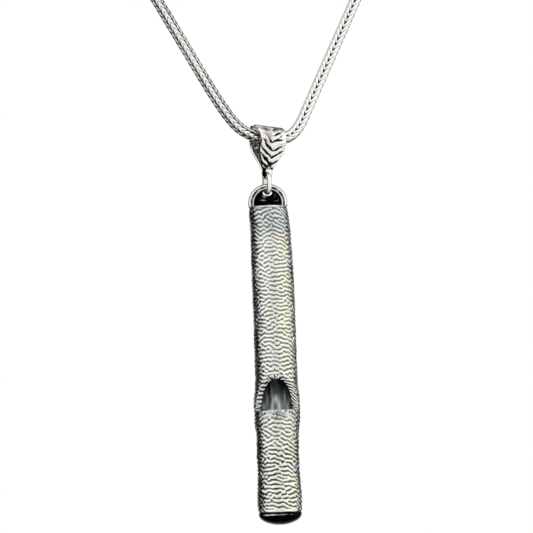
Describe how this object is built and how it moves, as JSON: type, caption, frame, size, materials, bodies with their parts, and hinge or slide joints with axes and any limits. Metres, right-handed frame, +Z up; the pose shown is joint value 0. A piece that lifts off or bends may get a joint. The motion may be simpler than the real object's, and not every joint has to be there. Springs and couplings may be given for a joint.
{
  "type": "whistle pendant on chain",
  "caption": "Slim tube whistle with an arched sound window and domed plug, hung by a lug, oval link and folded bail from a woven chain that ends in a spring clasp and a plain ring.",
  "frame": {"origin": "midway between the centres of the bores of the two end rings, which the chain hangs from", "axes": "+Z up, the whistle hangs along -Z; the chain hangs in the XZ plane, its clasp end at -X; the front is towards -Y; the whistle is turned 20 degrees about its own axis and the bail 12 degrees the other way"},
  "size_m": [0.0679, 0.0098, 0.1314],
  "materials": {
    "chain_silver": "polished silver wire, darkened in its gaps",
    "plain_silver": "polished silver",
    "spring_steel": "drawn spring wire",
    "bail_silver": "polished silver with darkened grooves",
    "lug_silver": "polished rim, blackened web",
    "tube_silver": "wavy reticulated silver, blackened in its grooves",
    "dark_silver": "blackened, glossy"
  },
  "bodies": {
    "chain": {"chain": "chain_silver", "left_end_cap": "plain_silver", "clasp_link": "plain_silver", "clasp_body": "plain_silver", "clasp_spring": "spring_steel", "right_end_cap": "plain_silver", "ring_link": "plain_silver", "end_ring": "plain_silver"},
    "clasp_bolt": {"clasp_bolt": "plain_silver"},
    "bail": {"bail": "bail_silver"},
    "link": {"oval_link": "plain_silver"},
    "whistle": {"hanging_lug": "lug_silver", "top_cap": "tube_silver", "whistle_tube": "tube_silver", "fipple_plug": "dark_silver"}
  },
  "joints": [
    {"name": "clasp_bolt_turn", "type": "hinge", "parent": "chain", "child": "clasp_bolt", "pos_m": [-0.0304, 0, 0], "axis": [0, -1, 0], "range_deg": [0, 44], "stiffness_Nm_per_rad": 0.00002, "springref_deg": -28.65},
    {"name": "bail_swing", "type": "hinge", "parent": "chain", "child": "bail", "pos_m": [0.00189, 0.00014, -0.044], "axis": [0.9744, 0.2071, -0.0872], "range_deg": [-70, 70]},
    {"name": "link_swing", "type": "hinge", "parent": "bail", "child": "link", "pos_m": [0.00124, 0, -0.0515], "axis": [0, 1, 0], "range_deg": [-40, 40]},
    {"name": "whistle_swing", "type": "hinge", "parent": "link", "child": "whistle", "pos_m": [0.00124, 0, -0.05442], "axis": [0.9397, -0.342, 0], "range_deg": [-45, 45]}
  ]
}
